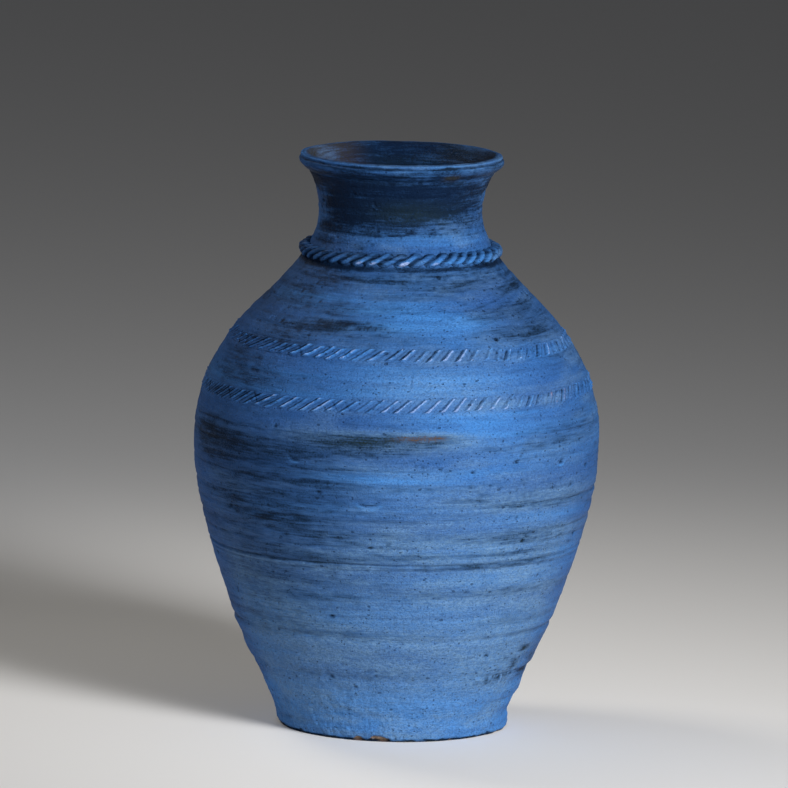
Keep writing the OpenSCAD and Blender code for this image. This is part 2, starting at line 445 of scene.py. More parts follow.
def add_piece(name, grid, paint, node, material, ends=None):
    """Build one closed piece from a grid of points and its paint values."""
    rows, cols = grid.shape[:2]
    points = grid.reshape(-1, 3)
    colours = paint.reshape(-1, 4)
    faces = quads(rows, cols, ends is None)
    fans = np.zeros((0, 3), int)
    if ends is not None:
        first = len(points)
        points = np.vstack([points, ends])
        colours = np.vstack([colours, colours[0], colours[-1]])
        j = np.arange(cols)
        k = (j + 1) % cols
        last = (rows - 1) * cols
        low = np.stack([np.full(cols, first), k, j], -1)
        high = np.stack([np.full(cols, first + 1), last + j, last + k], -1)
        fans = np.vstack([low, high])
    held = volume(points, faces) + volume(points, fans)
    if held < 0:
        faces, fans = faces[:, ::-1], fans[:, ::-1]
    mesh = bpy.data.meshes.new(name)
    corners = np.r_[faces.ravel(), fans.ravel()]
    starts = np.r_[4 * np.arange(len(faces)), 4 * len(faces) + 3 * np.arange(len(fans))]
    mesh.vertices.add(len(points))
    mesh.vertices.foreach_set("co", points.ravel())
    mesh.loops.add(len(corners))
    mesh.loops.foreach_set("vertex_index", corners)
    mesh.polygons.add(len(starts))
    mesh.polygons.foreach_set("loop_start", starts)
    mesh.update(calc_edges=True)
    mesh.validate()
    mesh.polygons.foreach_set("use_smooth", np.ones(len(starts), bool))
    mesh.set_sharp_from_angle(angle=np.radians(62))
    layer = mesh.attributes.new("paint", "FLOAT_COLOR", "POINT")
    layer.data.foreach_set("color", colours.astype(np.float32).ravel())
    mesh.materials.append(material)
    piece = bpy.data.objects.new(name, mesh)
    bpy.context.scene.collection.objects.link(piece)
    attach(piece, "root")
    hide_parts(node)
    print(f"{name}: {2 * len(faces) + len(fans)} triangles, {abs(held) * 1e6:.0f} ml of clay")
    return piece


# %% [markdown]
# ## Where the paint is thin, dark or gone
#
# The jar was painted blue by brush while it turned. A dark wash was wiped over
# it and stayed in the hollows, in streaks along the rings and in some larger
# stains. Four numbers at each point tell the finish what it is: how much dark
# wash, how brown the wash is, how much bare clay, and how grey and worn the
# blue is. Stains that can be seen on the real jar are placed one by one.
# Part of this is light and shade painted on. The first number also carries painted shade: a thin line under the rope
# collar, a band along the bottom edge, soft dark on the left, away from the light, and shade on the rope's coil. The
# fourth also carries painted highlight and sheen on crests, rims, the lip and right of the front.

# %% Stains
# Turn in degrees, height, half width in degrees, half height in mm, strength,
# brownness, and the rise of the stain in mm for each 10 degrees to the right
STAINS_AND_SHADE = np.array([
    # neck
    (-34, 389, 21, 11, 2.4, 0.1, 0), (5, 385.5, 25, 7, 1.7, 1.0, 0),
    (10, 391, 41, 10, 1.5, 0.0, 0), (14, 402, 34, 6, 1.2, 0.1, 0),
    (12, 376, 50, 8, 0.5, 0.3, 0), (-60, 368, 18, 9, 0.5, 0.1, 0), (60, 386, 20, 14, 0.4, 0.0, 0),
    (-24, 374, 32, 7, 0.42, 0.05, 0), (0, 404, 300, 7, 0.68, 0.0, 0),
    (0, 414, 300, 6, 0.32, 0.0, 0),
    # painted shadow: a thin dark ring under the rope collar, all the way round
    (0, 344.6, 300, 1.5, 1.3, 0.1, 0),
    # shoulder
    (-9.5, 336.5, 15, 1.3, 0.5, 0.35, 0), (-16, 303, 22, 6.5, 0.22, 0.3, 0),
    (-30, 317, 14, 5, 0.3, 0.1, 0), (-12, 320, 16, 4, 0.22, 0.2, 0),
    (-30, 306, 8, 2.6, 0.5, 0.15, 0), (-21, 309.5, 10, 1.8, 0.35, 0.15, 0),
    (-12, 306, 9, 1.2, 0.35, 0.5, 0),
    (-4, 300, 13, 3, 0.2, 0.35, 0),
    (-50, 327, 18, 9, 0.4, 0.05, 0), (-44, 299, 13, 5, 0.45, 0.1, 0), (-34, 335, 12, 5, 0.3, 0.1, 0), (49, 314, 26, 3.4, 0.45, 0.4, 1.6), (65, 311, 14, 7, 0.35, 0.2, 1.6),
    (38, 304, 13, 2.5, 0.35, 0.4, 1.6), (70, 329, 16, 3, 0.35, 0.5, 1.6),
    (58, 302, 20, 3.6, 0.5, 0.5, 1.6), (60, 298, 20, 5, 0.32, 0.5, 0), (20, 339, 75, 7, 0.35, 0.2, 0),
    (5, 326, 24, 1.8, 0.4, 0.4, 0), (30, 333, 22, 3, 0.35, 0.5, 0.8),
    # under the lower band and on the belly
    # the wide soft ones on the left, away from the light, are partly dark wash and partly painted shade
    (-62, 219, 16, 11, 0.8, 0.3, 0), (-41, 223, 14, 6, 0.35, 0.1, 0),
    (-31, 196, 20, 16, 0.42, 0.0, 0), (-36, 190, 24, 40, 0.3, 0.0, 0), (62, 232, 22, 12, 0.2, 0.2, 0),
    (-56, 268, 16, 14, 0.32, 0.0, 0), (-5, 229.5, 20, 5.5, 0.84, 1.3, 0),
    (8, 233.5, 8, 2.6, 0.8, 1.8, 0), (50, 223.7, 21, 4, 0.38, 0.6, 0),
    (-25, 221, 20, 6, 0.5, 0.2, 0), (-14, 222, 18, 3, 0.4, 0.5, 0),
    (-30, 141, 18, 4, 0.35, 0.3, 0), (46, 184, 28, 6.5, 0.33, 0.9, 0),
    (48, 157, 30, 5, 0.31, 0.9, 0), (21, 187, 8, 2, 0.45, 0.8, 0),
    (-31, 164, 21, 8, 0.4, 0.3, -3.2),
    (-38, 172, 22, 8, 0.2, 0.4, -3), (18, 136, 22, 2.2, 0.5, 0.5, 0),
    (0, 196, 30, 2.5, 0.35, 0.4, 0), (-20, 178, 34, 2, 0.5, 0.3, 0),
    (30, 146, 34, 2.6, 0.4, 0.5, 0), (44, 137, 20, 2.4, 0.5, 0.5, 0),
    (-34, 143, 22, 4, 0.3, 0.4, 0), (-36, 124, 18, 3, 0.4, 0.4, 0), (-32, 112, 24, 24, 0.26, 0.1, 0),
    (-16, 230, 13, 5, 0.4, 0.8, 0),
    (35, 116, 30, 3, 0.35, 0.6, 0), (-45, 108, 26, 2, 0.15, 0.4, 0),
    (-20, 84, 40, 2.4, 0.35, 0.4, 0), (50, 92, 24, 3.5, 0.35, 0.6, 0),
    (61, 67, 4, 2.5, 0.7, 0.9, 0), (57, 55, 3, 4, 0.7, 0.8, 0), (75, 50, 7, 16, 0.5, 0.2, 0), (47, 44, 12, 5, 0.3, 0.6, 0),
    # foot: a dark stain low on the left, and thin dark rings along the very bottom edge that are painted contact shadow
    (-63, 8, 14, 8, 0.5, 0.3, 0), (20, 1.5, 40, 1.6, 0.8, 0.3, 0),
    (-25, 2, 20, 1.8, 0.6, 0.3, 0),
])


def stains_and_shade(turn, h):
    """Sum of the stains, painted shade among them, and how brown they are."""
    dark, brown = 0.0, 0.0
    for at, height, wide, tall, strength, tint, climb in STAINS_AND_SHADE:
        across = (turn - np.radians(at) + np.pi) % TURN - np.pi
        across = np.degrees(across) / wide
        up = (h / MM - height - climb * across * wide / 10) / tall
        soft = strength * np.exp(-(across ** 2 + up ** 2) ** 1.05)
        dark = dark + soft
        brown = brown + soft * tint
    return dark, brown


# %% Paint values
# Where the blue is lighter: clean bright paint in places, painted highlight right
# of the front where the light falls on the belly, shoulder, neck and lip, and a
# lighter band all round the foot: turn, height, half width, half height, strength
BRIGHT = np.array([
    (16, 309, 22, 8, 1.0), (14, 366, 44, 6, 0.42), (22, 414, 24, 4, 0.4), (20, 243, 22, 13, 0.75),
    (18, 269, 28, 9, 0.5), (-5, 318, 22, 5, 0.4), (-3, 204, 30, 8, 0.25),
    (0, 180, 30, 6, 0.3), (20, 150, 30, 7, 0.3),
    (65, 145, 14, 8, 0.4), (44, 171, 26, 4.5, 0.5), (30, 206, 22, 5, 0.15),
    (40, 126, 34, 6, 0.4), (-52, 60, 16, 46, 0.5), (0, 12, 300, 26, 1.5), (44, 52, 26, 22, 0.4), (-52, 322, 26, 7, 0.5),
    (0, 100, 50, 14, 0.3),
])


# Where the blue is greyer, in the same five numbers: dusty, worn paint, and at
# (13, 266) a painted sheen where the light falls
DUSTY_AND_SHEEN = np.array([(13, 266, 24, 17, 0.5), (45, 55, 20, 17, 0.4), (46, 185, 30, 9, 0.3),
                  (48, 157, 30, 7, 0.3), (0, 195, 30, 6, 0.2), (120, 200, 40, 30, 0.3)])
# Where the wash lies evenly and stays blue
EVEN = np.array([(-38, 196, 27, 50, 0.85), (-32, 112, 26, 30, 0.6), (50, 171, 26, 26, 0.8),
                 (58, 315, 24, 24, 0.8)])
# Where the surface is coarse and holds grains of wash, in the same five numbers
COARSE = np.array([(46, 53, 26, 21, 1), (43, 52, 17, 15, 1), (-12, 51, 14, 8, 1),
                   (30, 194, 30, 13, 1), (50, 152, 24, 14, 1), (-10, 308, 14, 5, 1),
                   (-150, 150, 40, 40, 1), (130, 90, 40, 30, 1)])


def patches(table, turn, h):
    """Sum of soft patches; each is strong in its middle and fades at its edge."""
    total = 0.0
    for at, height, wide, tall, strength in table:
        across = np.degrees((turn - np.radians(at) + np.pi) % TURN - np.pi) / wide
        up = (h / MM - height) / tall
        total = total + strength * np.exp(-(across ** 2 + up ** 2) ** 1.3)
    return total


def grains(turn, h):
    """Small dark grains in the coarse places."""
    total = patches(COARSE, turn, h)
    fine = mottle(turn, h, 350, 1.3 * MM, 61) + 0.4 * mottle(turn, h, 120, 3.5 * MM, 62)
    return total * clamp(fine)


def slanted(turn, h):
    """Thin strokes of a dry brush that climb to the right on the right shoulder."""
    climb = h - 17 * MM * turn
    where = np.exp(-((np.degrees(turn) - 50) / 28) ** 4 - ((h / MM - 318) / 17) ** 4)
    thin = mottle(turn, climb, 9, 1.3 * MM, 55) + 0.5 * mottle(turn, climb, 6, 3.5 * MM, 56)
    return 0.4 * where * (step_up(0.0, 0.9, thin) - 0.1)


def finish_of(turn, h, hollow_and_shade):
    """The four paint numbers for points of the outside. The third argument is how
    deep a point lies below the true turning, in millimetres, and a piece may add
    painted shade to it."""
    turn, h, hollow_and_shade = np.broadcast_arrays(turn, h, hollow_and_shade)
    dark, brown = stains_and_shade(turn, h)
    streaks = brushed(turn, h, 60)
    cloud = mottle(turn, h, 7, 30 * MM, 64)
    fine = mottle(turn, h, 150, 1.6 * MM, 65)
    on_neck = step_up(352 * MM, 362 * MM, h)
    held = 1.05 * (1 - np.exp(-1.25 * dark * (1 + 0.7 * on_neck * streaks)))
    lines = step_up(0.45, 0.85, mottle(turn, h + 0.5 * MM * np.sin(turn), 6, 1.5 * MM, 69))
    upper = step_up(0.20, 0.38, h)
    calm = 0.45 + 0.55 * step_up(20 * MM, 150 * MM, h) - 0.5 * step_up(-2 * MM, 2 * MM, h - lip_seam)
    wash_and_shade = held * (1.0 + 0.22 * streaks) + 0.21 * calm * step_up(0.0, 0.6, streaks + 0.35 * cloud)
    wash_and_shade = wash_and_shade + (0.25 + 0.2 * calm) * clamp(hollow_and_shade - 0.25, 0, 1.2) + 0.12 * fine
    wash_and_shade = wash_and_shade + 0.18 * calm * lines + 0.14 * upper + 0.3 * grains(turn, h)
    wash_and_shade = wash_and_shade + slanted(turn, h) + 0.10 * mottle(turn, h, 5, 4.5 * MM, 57)
    grey = 0.5 * mottle(turn, h, 9, 16 * MM, 66) + 0.35 * mottle(turn, h, 34, 5 * MM, 68)
    foot = (1 - step_up(60 * MM, 270 * MM, h)) * (0.5 + 0.5 * step_up(10 * MM, 45 * MM, h))
    grey = clamp(grey + 0.08) + 0.62 * foot + patches(DUSTY_AND_SHEEN, turn, h)
    left = step_up(-18, -40, np.degrees(turn)) * step_up(215 * MM, 235 * MM, h)
    edge = step_up(54, 74, np.abs(np.degrees(turn))) * step_up(240 * MM, 215 * MM, h)
    brown = brown / (dark + 0.2)
    greyed = brown + clamp(1 - held) * grey * (1 - 0.8 * left) * (1 - 0.95 * edge)
    brown = np.where(brown > 0.95, brown, np.minimum(greyed, 0.95))
    wash_and_shade = wash_and_shade - 0.5 * patches(EVEN, turn, h) * clamp(wash_and_shade - 0.4)
    # Lighter blue from the table above: partly clean paint, partly painted highlight where the light falls.
    pale = patches(BRIGHT, turn, h)
    wash_and_shade = wash_and_shade - 0.25 * pale
    wear_and_highlight = 0.25 + pale + 0.3 * mottle(turn, h, 8, 22 * MM, 67)
    clay = np.zeros(turn.shape)
    return np.stack([clamp(wash_and_shade, 0, 1.15), clamp(brown, 0, 1.5), clay, clamp(wear_and_highlight)], -1)


def bare(shape):
    """Paint numbers of bare fired clay."""
    return np.broadcast_to(np.array([0.0, 0.0, 1.0, 0.3]), (*shape, 4))


# %% [markdown]
# ## The finish
#
# One material paints the whole pot. The four paint numbers give the broad
# picture. Noise that is stretched along the rings gives the fine hairs of the
# brush, and small round specks give the pinholes in which the dark wash stays.
# All of it is worked out from the object's own coordinates, so it stays on the
# pot from every side.

# %% Node helpers
def new_material(name):
    """A material with an empty node tree, its shader and its output."""
    material = bpy.data.materials.new(name)
    material.use_nodes = True
    tree = material.node_tree
    tree.nodes.clear()
    shader = tree.nodes.new("ShaderNodeBsdfPrincipled")
    output = tree.nodes.new("ShaderNodeOutputMaterial")
    tree.links.new(shader.outputs[0], output.inputs[0])
    return material, tree, shader


def feed(tree, socket, value):
    """Set a socket to a number or colour, or link another node's output to it."""
    if isinstance(value, bpy.types.NodeSocket):
        tree.links.new(value, socket)
    else:
        socket.default_value = value


def sums(tree, kind, a, b=0.0, hold=False):
    """A math node."""
    made = tree.nodes.new("ShaderNodeMath")
    made.operation = kind
    made.use_clamp = hold
    feed(tree, made.inputs[0], a)
    feed(tree, made.inputs[1], b)
    return made.outputs[0]


def ramp(tree, value, low, high, to_low=0.0, to_high=1.0):
    """Eased change from one value to another as the input goes low to high."""
    made = tree.nodes.new("ShaderNodeMapRange")
    made.interpolation_type = "SMOOTHSTEP"
    for socket, number in zip(made.inputs, (value, low, high, to_low, to_high)):
        feed(tree, socket, number)
    return made.outputs[0]


def blend_colours(tree, share, a, b):
    """Mix two colours."""
    made = tree.nodes.new("ShaderNodeMix")
    made.data_type = "RGBA"
    feed(tree, made.inputs[0], share)
    feed(tree, made.inputs[6], a)
    feed(tree, made.inputs[7], b)
    return made.outputs[2]


def stretched(tree, along, up):
    """Object coordinates, stretched so that noise cells lie along the rings."""
    where = tree.nodes.new("ShaderNodeTexCoord")
    made = tree.nodes.new("ShaderNodeMapping")
    made.inputs["Scale"].default_value = (along, along, up)
    tree.links.new(where.outputs["Object"], made.inputs["Vector"])
    return made.outputs[0]


def noise(tree, along, up, detail=2.0, rough=0.5):
    """Smooth noise from 0 to 1; `along` and `up` are cells for each metre."""
    made = tree.nodes.new("ShaderNodeTexNoise")
    tree.links.new(stretched(tree, along, up), made.inputs["Vector"])
    made.inputs["Scale"].default_value = 1.0
    made.inputs["Detail"].default_value = detail
    made.inputs["Roughness"].default_value = rough
    return made.outputs[0]


def specks(tree, along, up, keep, size):
    """Round specks: 1 inside a speck and 0 outside. `keep` is the share of
    cells that have one."""
    made = tree.nodes.new("ShaderNodeTexVoronoi")
    tree.links.new(stretched(tree, along, up), made.inputs["Vector"])
    made.inputs["Scale"].default_value = 1.0
    chance = tree.nodes.new("ShaderNodeSeparateColor")
    tree.links.new(made.outputs["Color"], chance.inputs[0])
    reach = sums(tree, "MULTIPLY", ramp(tree, chance.outputs[0], 1 - keep, 1.0), size)
    return ramp(tree, sums(tree, "SUBTRACT", reach, made.outputs["Distance"]), -0.05, 0.06)


# %% Painted clay
BLUE = (0.025, 0.082, 0.250, 1)
PALE_BLUE = (0.044, 0.177, 0.470, 1)
WORN_BLUE_AND_SHEEN = (0.120, 0.225, 0.375, 1)
CHALK_AND_HIGHLIGHT = (0.30, 0.40, 0.68, 1)
DEEP_BLUE = (0.010, 0.034, 0.090, 1)
NAVY = (0.0028, 0.0085, 0.026, 1)
OLIVE = (0.0095, 0.0175, 0.0155, 1)
RUST = (0.085, 0.050, 0.020, 1)
TERRACOTTA = (0.33, 0.125, 0.060, 1)
CREAM = (0.42, 0.27, 0.17, 1)
DUSTY_CLAY = (0.23, 0.165, 0.12, 1)


def painted_clay(name):
    """Blue paint and dark wash over fired clay."""
    material, tree, shader = new_material(name)
    paint = tree.nodes.new("ShaderNodeAttribute")
    paint.attribute_name = "paint"
    part = tree.nodes.new("ShaderNodeSeparateColor")
    tree.links.new(paint.outputs["Color"], part.inputs[0])
    # The first number is dark wash together with painted shade; the fourth is wear together with painted highlight and
    # sheen.
    wash_and_shade, brown, clay = part.outputs[0], part.outputs[1], part.outputs[2]
    wear_and_highlight = paint.outputs["Alpha"]

    hairs = noise(tree, 50, 850, 3.0, 0.6)
    bristle = noise(tree, 45, 400, 3.0, 0.65)
    brush = noise(tree, 11, 240, 3.0, 0.55)
    grain = noise(tree, 700, 900, 3.0, 0.65)
    dust = noise(tree, 300, 760, 3.0, 0.65)

    # Pale blue stands partly for lighter paint and partly for painted highlight.
    light = sums(tree, "MULTIPLY", wear_and_highlight, ramp(tree, brush, 0.3, 0.7, 0.5, 1.3))
    blue = blend_colours(tree, light, BLUE, PALE_BLUE)
    # Greyed blue: worn, dusty paint, and in one place a painted sheen.
    grey_and_sheen_share = sums(tree, "MULTIPLY", brown, ramp(tree, dust, 0.3, 0.7, 0.45, 1.0))
    blue = blend_colours(tree, grey_and_sheen_share, blue, WORN_BLUE_AND_SHEEN)
    blue = blend_colours(tree, ramp(tree, dust, 0.50, 0.75, 0.0, 0.14), blue, WORN_BLUE_AND_SHEEN)
    # Above one, the fourth number turns the blue chalky pale: worn chalky paint on crests and rims, and painted
    # highlight there and on the lip.
    chalk_and_highlight = ramp(tree, wear_and_highlight, 1.0, 1.5)
    blue = blend_colours(tree, chalk_and_highlight, blue, CHALK_AND_HIGHLIGHT)

    dark = blend_colours(tree, brown, NAVY, OLIVE)
    over = sums(tree, "SUBTRACT", brown, 0.97)
    dark = blend_colours(tree, ramp(tree, over, 0.0, 0.4), dark, RUST)
    ragged = sums(tree, "ADD", sums(tree, "MULTIPLY", hairs, 0.8), sums(tree, "MULTIPLY", grain, 1.2))
    ragged = sums(tree, "SUBTRACT", ragged, 1.0)
    streaky = sums(tree, "MULTIPLY", wash_and_shade, ramp(tree, bristle, 0.30, 0.70, 0.80, 1.16))
    edge = sums(tree, "ADD", streaky, ragged)
    colour = blend_colours(tree, ramp(tree, edge, -0.10, 0.95, 0.0, 0.93), blue, DEEP_BLUE)
    colour = blend_colours(tree, ramp(tree, edge, 0.40, 1.10, 0.0, 0.98), colour, dark)

    colour = blend_colours(tree, ramp(tree, grain, 0.60, 0.34, 0.0, 0.44), colour, NAVY)
    holes = specks(tree, 520, 640, 0.12, 0.42)
    flecks = specks(tree, 230, 360, 0.05, 0.36)
    dots = sums(tree, "MAXIMUM", holes, flecks)
    colour = blend_colours(tree, sums(tree, "MULTIPLY", dots, 0.55), colour, NAVY)
    fired = blend_colours(tree, ramp(tree, grain, 0.35, 0.7), TERRACOTTA, CREAM)
    fired = blend_colours(tree, ramp(tree, wear_and_highlight, 0.4, 0.8), fired, DUSTY_CLAY)
    colour = blend_colours(tree, clay, colour, fired)
    tree.links.new(colour, shader.inputs["Base Color"])

    rough = ramp(tree, grain, 0.2, 0.8, 0.42, 0.62)
    rough = sums(tree, "ADD", rough, sums(tree, "MULTIPLY", clay, 0.3))
    tree.links.new(rough, shader.inputs["Roughness"])
    shader.inputs["Specular IOR Level"].default_value = 0.07
    shader.inputs["Specular Tint"].default_value = (0.2, 0.45, 1.0, 1)

    bump = tree.nodes.new("ShaderNodeBump")
    bump.inputs["Strength"].default_value = 0.85
    bump.inputs["Distance"].default_value = 0.9 * MM
    up = sums(tree, "ADD", grain, sums(tree, "MULTIPLY", hairs, 0.6))
    up = sums(tree, "SUBTRACT", up, sums(tree, "MULTIPLY", dots, 0.8))
    tree.links.new(up, bump.inputs["Height"])
    tree.links.new(bump.outputs[0], shader.inputs["Normal"])
    return material


blue_paint = painted_clay("blue_paint_over_clay")
foot_paint = painted_clay("bare_clay_with_blue_edge")

# %% [markdown]
# ## The thrown walls
#
# Three walls and the neck are thrown rings of clay, stacked and luted. Outside
# rows lie under a millimetre apart, because that is where the light shows the
# relief. Inside rows are coarser, but they still carry the finger spiral that
# the potter leaves when pulling up the wall. Under each stroke band the wall is
# sunk a little, so the strip of clay lies in it and doesn't pass through it.

# %% Walls
WALL_TURNS = 700
SUNK = 1.4


def sunk(turn, h):
    """How far the wall lies below its skin, in millimetres, to seat the bands."""
    total = 0.0
    for band, (_, half, _) in BANDS.items():
        up = h - band_middle(band, turn)
        total = total + SUNK * step_up(1.0 * MM, 2.2 * MM, half - np.abs(up))
    return total


def inner_skin(turn, h):
    """The inside of the wall with the potter's finger spiral."""
    pitch = 8.5 * MM
    spiral = 0.45 * np.sin(TURN * h / pitch - turn) + 0.3 * mottle(turn, h, 12, 12 * MM, 90)
    return place(turn, inside_at(h) + spiral * MM, h)


def inside_paint(turn, h):
    """Dark wash runs down inside the neck, and the body stays bare clay."""
    turn, h = np.broadcast_arrays(turn, h)
    depth = neck_seam - 12 * MM + 10 * MM * mottle(turn, h, 9, 60 * MM, 91)
    clay = 1 - step_up(-6 * MM, 6 * MM, h - depth)
    wash_and_shade = clamp(0.85 + 0.2 * brushed(turn, h, 92) + 0.5 * mottle(turn, h, 9, 14 * MM, 93))
    brown = clamp(0.3 + 0.6 * mottle(turn, h, 8, 14 * MM, 94))
    dusty = step_up(-0.3, -1.0, np.sin(turn))
    wash_and_shade = clamp(wash_and_shade + 0.15 * step_up(0.1, 0.8, np.abs(np.sin(turn))))
    brown = clamp(brown + 0.5 * dusty)
    clay = np.maximum(clay, 0.10 * dusty)
    return np.stack([wash_and_shade * (1 - 0.6 * clay), brown, clay, 0.3 + 0.5 * dusty], -1)


def row_heights(low, high, count):
    """Heights of the outside rows, twice as close together near the grooves."""
    h = np.linspace(low, high, 3000)
    close = 1.0
    for at, _, half in GROOVES:
        close = close + 1.3 * np.exp(-((h / MM - at) / (half + 1.2)) ** 2)
    reach = np.cumsum(np.clip(close, 0, 2.3))
    return np.interp(np.linspace(reach[0], reach[-1], count), reach, h)


def wall(name, node, low, high, rows_out, rows_in):
    """A thrown ring between two seams: outside rows up, inside rows down."""
    turn = turns(WALL_TURNS)
    out_h = row_heights(low, high, rows_out)
    in_h = np.linspace(high, low, rows_in)
    proud = relief(turn, out_h)
    outer = skin(turn[None, :], out_h[:, None], proud - sunk(turn[None, :], out_h[:, None]))
    inner = inner_skin(turn[None, :], in_h[:, None])
    paint = finish_of(turn[None, :], out_h[:, None], -proud)
    marks = marks_on(turn, out_h)
    # The raised rims of pits and strokes lose wash and turn pale: a painted highlight on their edges.
    rims = clamp(2.2 * scratch(turn[None, :], out_h[:, None]) + 0.5 * clamp(marks))
    paint[..., 0] = clamp(paint[..., 0] - 0.3 * rims + 0.25 * clamp(-marks), 0, 1.15)
    paint[..., 3] = np.minimum(paint[..., 3] + 0.7 * rims, 1 + 0.16 * rims)
    inside = inside_paint(turn[None, :], in_h[:, None])
    return add_piece(name, np.vstack([outer, inner]), np.vstack([paint, inside]), node,
                     blue_paint)


wall("thrown_lower_wall", "lower_wall", floor_top, body_seam, 116, 22)
wall("thrown_belly_wall", "belly_wall", body_seam, shoulder_seam, 122, 20)
wall("thrown_shoulder_wall", "shoulder_wall", shoulder_seam, neck_seam, 122, 18)
wall("thrown_neck_wall", "neck_wall", neck_seam, lip_seam, 86, 30)

# %% [markdown]
# ## The floor slab
#
# The floor is a disc of clay that was beaten flat on the wheel head. A wire cut
# the jar off, which leaves shallow arcs underneath, and the sharp bottom edge
# has lost chips that show the bare clay. The rows run from the middle of the
# underside, round the edge and back to the middle of the top.

# %% Floor slab
# Chips on the bottom edge: turn and half width in degrees, height and depth in mm
CHIPS = [(-17, 3.0, 3.4, 2.0), (-6.5, 6.0, 5.2, 2.8), (65, 3, 2.0, 1.6), (31, 1.6, 1.4, 1.0),
         (14, 1.2, 1.2, 0.8), (120, 6, 3.0, 2.2), (-140, 4, 2.2, 2.0), (170, 3, 1.6, 1.4)]


def chipped(turn, h):
    """How deep the bottom edge is broken away, in millimetres."""
    up = h / MM + 0.5 * mottle(turn, h, 200, 4 * MM, 71)
    total = 0.45 * clamp(mottle(turn, 0 * h, 120, 1, 72)) * np.exp(-(up / 1.6) ** 2)
    for at, wide, tall, deep in CHIPS:
        across = np.degrees((turn - np.radians(at) + np.pi) % TURN - np.pi) / wide
        across = across + 0.25 * mottle(turn, h, 260, 3 * MM, 73)
        total = total + deep * step_up(0, 0.45, 1 - np.sqrt(across ** 2 + (up / tall) ** 2))
    return total


def floor_slab():
    """The whole slab as rows from the middle below to the middle above."""
    turn = turns(WALL_TURNS)
    edge_r = outside_at(0.0)
    under_r = np.linspace(2 * MM, edge_r - 1.2 * MM, 60)
    side_h = np.linspace(0.3 * MM, floor_top, 20)
    top_r = np.linspace(outside_at(floor_top) - 4 * MM, 2 * MM, 46)
    t = turn[None, :]
    arcs = 0.25 + 0.22 * np.sin(TURN * (under_r[:, None] * np.cos(t) + 0.4 *
                                        under_r[:, None] ** 2 * np.sin(t) / edge_r) / (4.5 * MM))
    arcs = arcs * (0.2 + 0.8 * step_up(0, 14 * MM, edge_r - under_r[:, None]))
    below = place(t, under_r[:, None], arcs * MM)
    broken = chipped(t, side_h[:, None])
    soft_edge = 1.3 * np.exp(-(side_h[:, None] / (1.1 * MM)) ** 1.5)
    proud = relief(turn, side_h) - broken - soft_edge
    side = skin(t, side_h[:, None], proud)
    swirl = 0.4 * np.sin(TURN * top_r[:, None] / (7 * MM) + t) - 0.4
    swirl = swirl * step_up(0, 12 * MM, inside_at(floor_top + 11 * MM) - top_r[:, None])
    above = place(t, top_r[:, None], floor_top + swirl * MM)
    paint = finish_of(t, side_h[:, None], -relief(turn, side_h))
    paint[..., 2] = step_up(0.6, 1.4, broken) * step_up(-0.6, 0.3, mottle(t, side_h[:, None], 90, 2 * MM, 75))
    paint[..., 3] = np.maximum(paint[..., 3], 0.9 * paint[..., 2])
    # Painted contact shadow: a ragged dark band about two millimetres high along the bottom edge, where the jar stands
    # on the floor.
    ragged = side_h[:, None] / MM + 1.6 * mottle(t, side_h[:, None], 110, 3 * MM, 74)
    paint[..., 0] = np.maximum(paint[..., 0], 1.1 * np.exp(-clamp(ragged / 1.9, 0, 9) ** 4))
    under = np.array(bare((60, WALL_TURNS)))
    under[..., 2] = 1 - step_up(edge_r - 6 * MM, edge_r - 2 * MM, under_r)[:, None]
    under[..., 0] = 1 - under[..., 2]
    grid = np.vstack([below, side, above])
    colours = np.vstack([under, paint, bare((46, WALL_TURNS))])
    ends = np.array([below[0].mean(0), above[-1].mean(0)])
    add_piece("beaten_floor_slab", grid, colours, "base_slab", foot_paint, ends)


floor_slab()

# %% [markdown]
# ## The rolled lip
#
# The lip is a thick bead that was rolled outwards, with a slope that leads into
# the neck. Callipers feel its section too. The section is then read at even
# steps along its length, so that the grid is as fine on the flat top as it is
# on the front. A shallow groove runs round the bead where a wet finger went.

# %% Section of the lip
lip_tree = solid_tree(["rim_roll"])
lip_h = np.arange(lip_seam + 0.15 * MM, jar_top - 0.1 * MM, 0.2 * MM)
lip_out = soften(np.array([feel(lip_tree, h, False) for h in lip_h]), 2)
lip_in = soften(np.array([feel(lip_tree, h, True) for h in lip_h]), 2)
section = np.vstack([np.c_[lip_out, lip_h], np.c_[lip_in, lip_h][::-1]])
steps = np.hypot(*np.diff(section, axis=0).T)
along = np.r_[0, np.cumsum(steps)]
even = np.linspace(0, along[-1], 96)
lip_r = soften(np.interp(even, along, section[:, 0]), 1)
lip_z = soften(np.interp(even, along, section[:, 1]), 1)
print(f"lip section {1000 * along[-1]:.0f} mm long, bead {2000 * lip_out.max():.0f} mm across")


